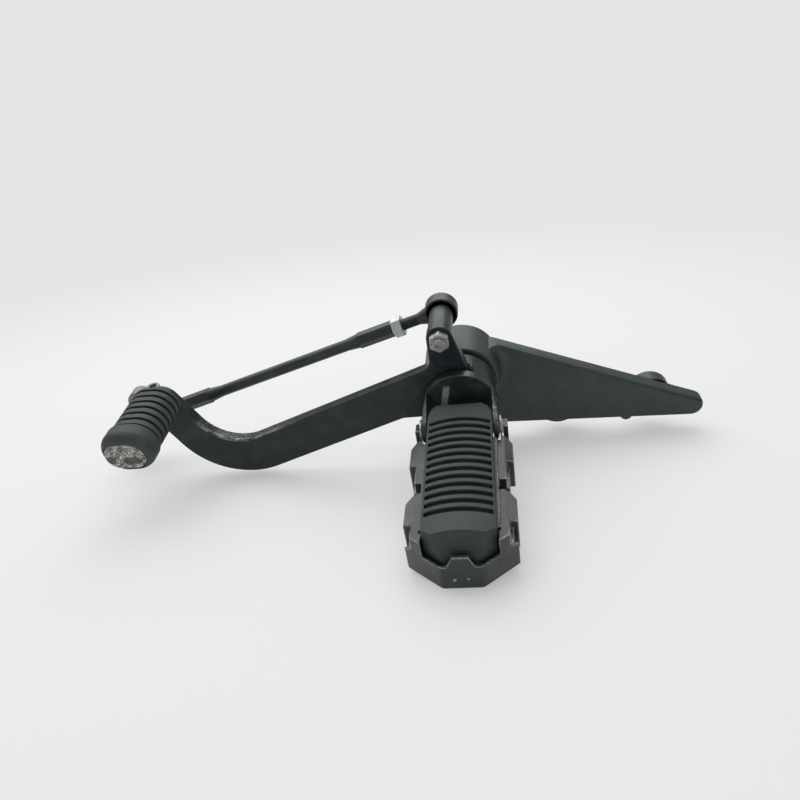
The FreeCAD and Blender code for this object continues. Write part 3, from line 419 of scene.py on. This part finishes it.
def rubber(name, colour, dust):
    """Moulded rubber: matt, finely grained, varying a little in tone at random, dusty in patches and
    flecked with dust.
    """
    def build(t):
        settings = finishes()
        broad = t.noise(45.0, 3.0)
        grain = t.noise(1900.0, 3.0, 0.65)
        patch = t.noise(130.0, 5.0, 0.6).step(0.45, 0.78)
        speck = t.cells(700.0).step(0.22, 0.08)
        base = t.mix(broad, rgba(colour, 0.8), rgba(colour, 1.28))
        base = t.mix((patch * dust).clip(), base, rgba(settings.dust, 0.8))
        base = t.mix(speck * (dust * 0.5), base, rgba(settings.dust))
        sheen = broad * 0.15 + (patch * 0.1 + 0.52)
        return {"Base Color": base, "Roughness": sheen.clip(), "Normal": t.bump(grain, 0.45, 0.0005)}
    return finish_material(name, build)


def plated(name, colour, rough, grime):
    """Plated steel: bright, with faint turning marks and grime in patches."""
    def build(t):
        broad = t.noise(160.0, 4.0)
        fine = t.noise(2200.0, 2.0)
        dirt = (t.noise(420.0, 4.0).step(0.5, 0.75) * grime).clip()
        base = t.mix(broad, rgba(colour, 0.86), rgba(colour, 1.05))
        base = t.mix(dirt, base, rgba(GRIME))
        sheen = broad * 0.15 + (fine * 0.1 + rough) + dirt * 0.3
        return {"Base Color": base, "Roughness": sheen.clip(), "Metallic": 1.0 - dirt * 0.8,
                "Normal": t.bump(fine, 0.25, 0.0003)}
    return finish_material(name, build)


def near(t, x, z, spot, size):
    """1 inside a round spot (x, z) of that radius in millimetres, fading out over its rim."""
    apart = ((x - spot[0]) ** 2.0 + (z - spot[1]) ** 2.0) ** 0.5
    ragged = t.noise(1400.0, 3.0) * (size * 0.7) + apart
    return ragged.step(size * 1.35, size * 1.05)


def worn_end(name):
    """Worn toe peg: bare steel with pale scratches all ways, and dull smooth places low on its face."""
    def build(t):
        settings = finishes()
        x, _, z = t.axes()
        scratch = t.streaks(SCRATCH_TURNS[0])
        for turn in SCRATCH_TURNS[1:]:
            scratch = scratch.math("MAXIMUM", t.streaks(turn))
        dull = near(t, x, z, *DULL_SPOTS[0])
        for spot, size in DULL_SPOTS[1:]:
            dull = dull.math("MAXIMUM", near(t, x, z, spot, size))
        left = t.noise(330.0, 5.0, 0.7).step(0.5, 0.62)
        pale = scratch * (1.0 - dull * 0.9)
        steel = t.mix(left, rgba(settings.bare_steel, 0.36), rgba(settings.bare_steel, 0.14))
        steel = t.mix(dull, steel, rgba(settings.bare_steel, 0.13))
        base = t.mix(pale, steel, rgba(SCRATCH_PALE))
        return {"Base Color": base, "Roughness": (left * 0.1 + 0.45).clip(), "Metallic": 0.35 - dull * 0.3,
                "Normal": t.bump(pale, 0.6, 0.0006)}
    return finish_material(name, build)


def lever_wear(t):
    """Paint rubbed off in a thin line along the inner edge of the lever's bend, and a few fine chips.

    The bend is an arc about BEND, and the arm's top edge runs on from it as a straight line."""
    x, y, z = t.axes()
    apart = ((x - BEND[0]) ** 2.0 + (z - BEND[1]) ** 2.0) ** 0.5
    in_arc = x.step(*ARC_LEFT) * x.step(*ARC_RIGHT) * z.step(*ARC_LOW)
    rise = z - (x * ARM_FALL + ARM_TOP)
    in_line = x.step(*ARM_LEFT) * x.step(*ARM_RIGHT)
    arc = apart.step(BEND_R + RUB_OUTER, BEND_R + RUB_INNER) * in_arc
    band = arc + rise.step(-RUB_OUTER, -RUB_INNER) * in_line
    front = y.step(*PLATE_FRONT)
    rubbed = t.noise(160.0, 4.0, 0.6).step(0.4, 0.52) * front
    torn = t.noise(900.0, 4.0, 0.7).step(0.5, 0.6) * 0.6
    chips = t.noise(260.0, 4.0).step(0.72, 0.76)
    return (band.clip() * rubbed.math("MAXIMUM", torn) * 0.8 + chips * 0.15).clip()


def frame_wear(t):
    """Two small round chips on the nose's front and fine rubbed spots on the rails."""
    x, y, z = t.axes()
    front = y.step(*NOSE_FRONT)
    large, small = NOSE_CHIPS
    chips = near(t, x, z, *large) + near(t, x, z, *small)
    rub = t.noise(300.0, 5.0, 0.7).step(0.68, 0.75)
    return (front * chips + rub * 0.22).clip()


def clevis_wear(t):
    """A leaning bare strip on the flange between the ears, and flecks on the right ear's front."""
    x, y, z = t.axes()
    aside = x - (z * STRIP_LEAN + STRIP_FOOT)
    ragged = t.noise(500.0, 4.0, 0.6) * 1.6 + aside.math("ABSOLUTE")
    strip = ragged.step(*STRIP_HALF) * z.step(*STRIP_TOP) * z.step(*STRIP_BOTTOM) * y.step(*STRIP_FACE)
    flecks = t.noise(420.0, 5.0, 0.7).step(0.52, 0.6) * x.step(*EAR_SIDE) * y.step(*EAR_FRONT)
    return (strip + flecks * 0.5).clip()


def edge_wear(t):
    """Paint rubbed thin along edges, broken into dashes and specks."""
    run = t.noise(120.0, 4.0, 0.6).step(0.36, 0.58) * 0.6
    speck = t.noise(700.0, 4.0, 0.7).step(0.48, 0.6) * 0.4
    return (run + speck).clip()


def is_sharp(edge):
    """True where two faces meet at more than SHARP."""
    return len(edge.link_faces) == 2 and edge.calc_face_angle() > SHARP


def has_room(vertex, width):
    """True where the edges that a bevel slides along at a vertex are long enough for one from each end."""
    sharp = [edge for edge in vertex.link_edges if is_sharp(edge)]
    if len(sharp) == 2:
        beside = [edge for edge in vertex.link_edges if edge not in sharp]
    else:
        beside = vertex.link_edges
    return all(edge.calc_length() > EDGE_ROOM * width for edge in beside)


def softened(node):
    """Copy of a CAD node: doubles merged, flat faces joined, sharp edges bevelled where there is room."""
    width, steps = finishes().edge_width, USUAL_STEPS
    if node in SOFT_EDGES:
        width, steps = SOFT_EDGES[node]
        width *= MM
    clamp = node in CLAMPED
    source = frame["nodes"][node]
    body = source["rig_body"]
    mesh = bpy.data.meshes.new(node + "_soft")
    bm = bmesh.new()
    bm.from_mesh(source.data)
    bmesh.ops.remove_doubles(bm, verts=bm.verts, dist=SAME_POINT)
    bmesh.ops.dissolve_limit(bm, angle_limit=FLAT, verts=bm.verts, edges=bm.edges)
    weight = bm.edges.layers.float.new("bevel_weight_edge")
    for edge in bm.edges:
        if is_sharp(edge) and (clamp or all(has_room(vertex, width) for vertex in edge.verts)):
            edge[weight] = 1.0
    bm.to_mesh(mesh)
    bm.free()
    for name in ("custom_normal", "sharp_face", "sharp_edge"):
        if name in mesh.attributes:
            mesh.attributes.remove(mesh.attributes[name])
    mesh.shade_smooth()
    mesh.set_sharp_from_angle(angle=SHARP)
    piece = bpy.data.objects.new(node + "_soft", mesh)
    bpy.context.scene.collection.objects.link(piece)
    if width > 0:
        bevel = piece.modifiers.new("soft edges", "BEVEL")
        bevel.width = width
        bevel.segments = steps
        bevel.limit_method = "WEIGHT"
        bevel.harden_normals = True
        bevel.use_clamp_overlap = clamp
        weld = piece.modifiers.new("joined points", "WELD")
        weld.merge_threshold = SAME_SOFT_POINT
    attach(piece, body)
    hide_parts(node)
    return piece


def dress(node, material, edge=None):
    """Softened copy of a node with one material, or a second one on its edges."""
    piece = softened(node)
    piece.data.materials.clear()
    piece.data.materials.append(material)
    if edge is not None:
        piece.data.materials.append(edge)
        piece.modifiers["soft edges"].material = 1
    return piece


def grid_piece(name, points, body, material):
    """Mesh from points[u, v, 3]; v closes on itself, and each end of u is capped by one face."""
    rows, cols = points.shape[:2]
    index = np.arange(rows * cols).reshape(rows, cols)
    across = np.roll(index, -1, axis=1)
    quads = np.stack([index[:-1], across[:-1], across[1:], index[1:]], axis=-1)
    faces = [tuple(q) for q in quads.reshape(-1, 4).tolist()]
    faces += [tuple(index[0, ::-1].tolist()), tuple(index[-1].tolist())]
    mesh = bpy.data.meshes.new(name)
    mesh.from_pydata(points.reshape(-1, 3).tolist(), [], faces)
    bm = bmesh.new()
    bm.from_mesh(mesh)
    bmesh.ops.recalc_face_normals(bm, faces=bm.faces)
    bm.to_mesh(mesh)
    bm.free()
    mesh.shade_smooth()
    mesh.materials.append(material)
    piece = bpy.data.objects.new(name, mesh)
    bpy.context.scene.collection.objects.link(piece)
    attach(piece, body)
    return piece


def side_axes(direction):
    """Two unit vectors square to a direction and to each other."""
    helper = np.array([0.0, 0.0, 1.0]) if abs(direction[2]) < 0.9 else np.array([1.0, 0.0, 0.0])
    first = np.cross(direction, helper)
    first = first / np.linalg.norm(first)
    return first, np.cross(direction, first)


def thread_points(start, end, root, depth, pitch):
    """Screw thread: radius root + depth * tri(s / pitch - angle / turn), fading to root at both ends.

    tri is a triangle wave from 0 to 1, s the distance along the axis and angle the place round it."""
    start, end = np.asarray(start, float), np.asarray(end, float)
    length = np.linalg.norm(end - start)
    direction = (end - start) / length
    first, second = side_axes(direction)
    s = np.linspace(0.0, length, int(length / pitch * THREAD_STEPS))[:, None]
    angle = np.linspace(0.0, 2 * np.pi, THREAD_SIDES, endpoint=False)[None, :]
    phase = np.mod(s / pitch - angle / (2 * np.pi), 1.0)
    wave = 1.0 - np.abs(2.0 * phase - 1.0)
    fade = np.clip(np.minimum(s, length - s) / (pitch * 0.4), 0.0, 1.0)
    radius = root + depth * wave * fade
    ring = np.cos(angle)[..., None] * first + np.sin(angle)[..., None] * second
    return start + s[..., None] * direction + radius[..., None] * ring


def bead_points(path, radius, ripple):
    """Weld bead: a tube of that radius along path, closing at its ends.

    Its size at a run r is radius * ends(r) * (1 + 0.1 |sin(pi r / ripple)|)."""
    path = np.asarray(path, float)
    step = np.gradient(path, axis=0)
    along = step / np.linalg.norm(step, axis=1, keepdims=True)
    run = np.concatenate([[0.0], np.cumsum(np.linalg.norm(np.diff(path, axis=0), axis=1))])
    helper = np.array([0.0, 1.0, 0.0]) if abs(along[0, 1]) < 0.8 else np.array([1.0, 0.0, 0.0])
    first = np.cross(along, helper)
    first = first / np.linalg.norm(first, axis=1, keepdims=True)
    second = np.cross(along, first)
    angle = np.linspace(0.0, 2 * np.pi, BEAD_SIDES, endpoint=False)
    ends = np.clip(np.minimum(run, run[-1] - run) / (radius * 0.8), 0.15, 1.0) ** 0.5
    size = radius * ends * (1.0 + 0.1 * np.abs(np.sin(np.pi * run / ripple)))
    ring = np.cos(angle)[None, :, None] * first[:, None] + np.sin(angle)[None, :, None] * second[:, None]
    return path[:, None] + size[:, None, None] * ring


def from_pivot(x, y, z):
    """Points given in millimetres from the pivot axis, in the row frame in metres."""
    return np.stack(np.broadcast_arrays(x, y, z), axis=-1) * MM + PIVOT


class HANGER_OT_hanger(bpy.types.Operator):
    """Satin black cast hanger with the clevis, its bolt, washer, seals and fold pin"""
    bl_idname = "hanger.hanger"
    bl_label = "Hanger and clevis"

    def execute(self, context):
        s = finishes()
        satin = paint("hanger_satin", s.hanger_black, rough=0.44, peel=0.2, dust=0.06)
        gloss = paint("clevis_gloss", s.frame_black, rough=0.3, peel=0.15, dust=0.12,
                      wear=clevis_wear, shine=0.1)
        zinc = plated("zinc_back", s.zinc, rough=0.3, grime=0.25)
        steel = plated("pin_steel", PIN_GREY, rough=0.34, grime=0.5)
        seal = rubber("seal_rubber", SEAL_BLACK, dust=0.15)
        dress("hanger_bracket", satin)
        dress("footrest_clevis", gloss)
        for node in ("clevis_bolt", "clevis_washer"):
            dress(node, zinc)
        for node in ("fold_pin", "fold_pin_clip"):
            dress(node, steel)
        for node in ("front_hub_seal", "rear_hub_seal"):
            dress(node, seal)
        return {"FINISHED"}


class HANGER_OT_footrest(bpy.types.Operator):
    """Footrest frame, ribbed pad, pad screws and return spring"""
    bl_idname = "hanger.footrest"
    bl_label = "Footrest"

    def execute(self, context):
        s = finishes()
        gloss = paint("frame_gloss", s.frame_black, rough=0.3, peel=0.18, dust=0.16, wear=frame_wear)
        rubbed = paint("frame_edge", s.frame_black, rough=0.36, peel=0.2, dust=0.3, wear=edge_wear)
        dress("footrest_frame", gloss, rubbed)
        dress("footrest_rubber", rubber("pad_rubber", s.pad_grey, dust=0.14))
        dress("pad_screws", plated("screw_zinc", s.zinc, rough=0.32, grime=0.4))
        dress("return_spring", plated("spring_steel", SPRING_GREY, rough=0.3, grime=0.4))
        return {"FINISHED"}


class HANGER_OT_lever(bpy.types.Operator):
    """Gear lever with its weld beads, bushes, toe peg and toe rubber"""
    bl_idname = "hanger.lever"
    bl_label = "Gear lever"

    def execute(self, context):
        s = finishes()
        black = paint("lever_gloss", s.lever_black, rough=0.28, peel=0.16, dust=0.08,
                      wear=lever_wear, gloss=0.28)
        dress("gear_lever", black)
        bush = plated("bush_bronze", BRONZE, rough=0.35, grime=0.3)
        for node in ("front_lever_bush", "rear_lever_bush"):
            dress(node, bush)
        dress("toe_peg", worn_end("worn_steel"))
        dress("toe_rubber", rubber("toe_rubber", s.toe_grey, dust=0.16))
        bead = context.scene.hanger_thread.bead
        turn = np.radians(np.linspace(*HUB_WELD, HUB_WELD_STEPS))
        ring = from_pivot(HUB_R * np.cos(turn), PLATE_BACK, HUB_R * np.sin(turn))
        points = bead_points(ring, bead, HUB_RIPPLE * MM)
        grid_piece("hub_weld", points, "lever", black)
        depth = np.linspace(*TONGUE_WELD, TONGUE_WELD_STEPS)
        corner = from_pivot(TONGUE_CORNER[0], depth, TONGUE_CORNER[1])
        points = bead_points(corner, bead, TONGUE_RIPPLE * MM)
        grid_piece("tongue_weld", points, "lever", black)
        return {"FINISHED"}


class HANGER_OT_linkage(bpy.types.Operator):
    """Link rod, rod ends, nuts, ball studs, spacer and shift arm, with their threads"""
    bl_idname = "hanger.linkage"
    bl_label = "Linkage"

    def execute(self, context):
        s = finishes()
        t = context.scene.hanger_thread
        black = paint("link_black", s.lever_black, rough=0.4, peel=0.15, dust=0.1)
        zinc = plated("link_zinc", s.zinc, rough=0.34, grime=0.15)
        bright = plated("stud_zinc", [STUD_DULL * c for c in s.zinc], rough=0.24, grime=0.9)
        liner = rubber("liner", LINER_BLACK, dust=0.1)
        grey = plated("arm_grey", ARM_GREY, rough=0.5, grime=0.25)
        for node in ("link_rod", "rear_rod_end", "front_rod_end", "link_spacer"):
            dress(node, black)
        for node in ("rear_lock_nut", "front_lock_nut"):
            dress(node, zinc)
        for node in ("rear_stud_nut", "front_stud_nut", "rear_ball_stud", "front_ball_stud"):
            dress(node, bright)
        for node in ("rear_eye_liner", "front_eye_liner"):
            dress(node, liner)
        for node in ("shift_arm", "pinch_bolt"):
            dress(node, grey)
        joints = {j["name"]: np.array(j["pos_m"]) for j in frame["joints"]}
        rear, front = joints["rear_link_joint"], joints["front_link_joint"]
        length = np.linalg.norm(front - rear)
        way = (front - rear) / length
        shank = SHANK_R * MM
        runs = {"rear_thread": (REAR_THREAD[0] * MM, REAR_THREAD[1] * MM),
                "front_thread": (length - FRONT_THREAD[1] * MM, length - FRONT_THREAD[0] * MM)}
        for name, (start, end) in runs.items():
            points = thread_points(rear + way * start, rear + way * end, shank, t.depth, t.pitch)
            grid_piece(name, points, "link", black)
        tip = np.array([rear[0], PIVOT[1] + STUD_TIP * MM, rear[2]])
        root = tip + np.array([0.0, STUD_THREAD * MM, 0.0])
        points = thread_points(tip, root, shank, t.depth, t.pitch)
        grid_piece("stud_thread", points, "lever", bright)
        return {"FINISHED"}


class HANGER_OT_stage(bpy.types.Operator):
    """Camera, pale floor and soft lamps"""
    bl_idname = "hanger.stage"
    bl_label = "Stage"

    def execute(self, context):
        scene = context.scene
        s = scene.hanger_stage
        place = Vector(s.camera_place)
        ahead = math.cos(s.pitch)
        forward = Vector((-math.sin(s.yaw) * ahead, math.cos(s.yaw) * ahead, -math.sin(s.pitch)))
        level = Vector((math.cos(s.yaw), math.sin(s.yaw), 0.0))
        down = forward.cross(level)
        right = level * math.cos(s.roll) + down * math.sin(s.roll)
        under = down * math.cos(s.roll) - level * math.sin(s.roll)
        data = bpy.data.cameras.new("camera")
        data.sensor_width = SENSOR_MM
        data.lens = s.focal * data.sensor_width
        data.clip_start = 0.01
        data.clip_end = 50.0
        camera = bpy.data.objects.new("camera", data)
        turn = Matrix((right, -under, -forward)).transposed()
        camera.matrix_world = Matrix.Translation(place) @ turn.to_4x4()
        scene.collection.objects.link(camera)
        scene.camera = camera
        up = Vector(s.floor_normal).normalized()
        low = min(float((self.corners(o) @ np.array(up)).min()) for o in frame["nodes"].values())
        centre = (CAD_LOW + CAD_HIGH) / 2
        foot = centre - up * (centre.dot(up) - low)
        self.floor(foot, up, s.backdrop)
        for name, lamp, power in (("key", KEY_LAMP, s.key_power), ("fill", FILL_LAMP, s.fill_power)):
            height, aside, size = lamp
            self.lamp(name, foot + up * height + Vector(aside), foot, size, power)
        self.world(s.world_strength, s.backdrop)
        scene.render.engine = "CYCLES"
        scene.cycles.samples = s.samples
        scene.cycles.use_denoising = True
        scene.render.resolution_x = PICTURE
        scene.render.resolution_y = PICTURE
        scene.view_settings.view_transform = "Standard"
        return {"FINISHED"}

    def corners(self, piece):
        """A node's vertices as an array."""
        flat = np.empty(len(piece.data.vertices) * 3)
        piece.data.vertices.foreach_get("co", flat)
        return flat.reshape(-1, 3)

    def floor(self, foot, up, backdrop):
        """Wide pale floor through foot, square to up; far off it takes the backdrop's colour."""
        first, second = side_axes(np.array(up))
        corner = [foot + Vector(first) * a * FLOOR_REACH + Vector(second) * b * FLOOR_REACH
                  for a, b in ((-1, -1), (1, -1), (1, 1), (-1, 1))]
        mesh = bpy.data.meshes.new("floor")
        mesh.from_pydata([tuple(c) for c in corner], [], [(0, 1, 2, 3)])
        material = bpy.data.materials.new("floor_white")
        material.use_nodes = True
        tree = material.node_tree
        tree.nodes.clear()
        t = Tree(tree)
        pale = t.node("ShaderNodeBsdfDiffuse", None, {"Color": (0.8, 0.8, 0.8, 1.0)})
        white = t.node("ShaderNodeEmission", None, {"Color": rgba(backdrop), "Strength": 1.0})
        seen = t.node("ShaderNodeLightPath", out="Is Camera Ray").math(
            "MAXIMUM", t.node("ShaderNodeLightPath", out="Is Glossy Ray"))
        away = t.node("ShaderNodeVectorMath", {"operation": "DISTANCE"},
                      {0: t.place(), 1: tuple(foot)}, "Value")
        share = away.step(*FLOOR_FADE) * (1.0 - FLOOR_SHARE) + FLOOR_SHARE
        shown = t.node("ShaderNodeMixShader", None, {0: seen * share, 1: pale, 2: white})
        out = tree.nodes.new("ShaderNodeOutputMaterial")
        tree.links.new(shown.socket, out.inputs["Surface"])
        mesh.materials.append(material)
        floor = bpy.data.objects.new("floor", mesh)
        bpy.context.scene.collection.objects.link(floor)

    def lamp(self, name, place, target, size, power):
        """Square soft box at place, facing target."""
        data = bpy.data.lights.new(name, "AREA")
        data.shape = "SQUARE"
        data.size = size
        data.energy = power
        lamp = bpy.data.objects.new(name, data)
        turn = (target - place).to_track_quat("-Z", "Y").to_matrix()
        lamp.matrix_world = Matrix.Translation(place) @ turn.to_4x4()
        bpy.context.scene.collection.objects.link(lamp)

    def world(self, strength, backdrop):
        """Even white sky, which the camera sees in the backdrop's colour."""
        world = bpy.data.worlds.new("sky")
        world.use_nodes = True
        tree = world.node_tree
        tree.nodes.clear()
        t = Tree(tree)
        seen = t.node("ShaderNodeLightPath", out="Is Camera Ray")
        colour = t.mix(seen, rgba((strength, strength, strength)), rgba(backdrop))
        sky = t.node("ShaderNodeBackground", None, {"Color": colour, "Strength": 1.0})
        out = tree.nodes.new("ShaderNodeOutputWorld")
        tree.links.new(sky.socket, out.inputs["Surface"])
        bpy.context.scene.world = world


class HANGER_PT_panel(bpy.types.Panel):
    """Buttons that make each group of the hanger's pieces"""
    bl_idname = "HANGER_PT_panel"
    bl_label = "Footrest hanger"
    bl_space_type = "VIEW_3D"
    bl_region_type = "UI"
    bl_category = "Hanger"

    def draw(self, context):
        for operator in OPERATORS:
            self.layout.operator(operator.bl_idname)
        for group in (context.scene.hanger_finish, context.scene.hanger_thread, context.scene.hanger_stage):
            for name in group.bl_rna.properties.keys():
                if name not in ("rna_type", "name"):
                    self.layout.prop(group, name)


OPERATORS = (HANGER_OT_hanger, HANGER_OT_footrest, HANGER_OT_lever, HANGER_OT_linkage, HANGER_OT_stage)
CLASSES = (FinishSettings, ThreadSettings, StageSettings, *OPERATORS, HANGER_PT_panel)


def register():
    """Registers the classes and hangs their settings on the scene."""
    for item in CLASSES:
        bpy.utils.register_class(item)
    bpy.types.Scene.hanger_finish = PointerProperty(type=FinishSettings)
    bpy.types.Scene.hanger_thread = PointerProperty(type=ThreadSettings)
    bpy.types.Scene.hanger_stage = PointerProperty(type=StageSettings)


def unregister():
    """Takes the settings and classes away again."""
    for name in ("hanger_finish", "hanger_thread", "hanger_stage"):
        delattr(bpy.types.Scene, name)
    for item in reversed(CLASSES):
        bpy.utils.unregister_class(item)


def main():
    """Makes every group in order."""
    register()
    bpy.ops.hanger.hanger()
    bpy.ops.hanger.footrest()
    bpy.ops.hanger.lever()
    bpy.ops.hanger.linkage()
    bpy.ops.hanger.stage()


if __name__ == "__main__":
    main()
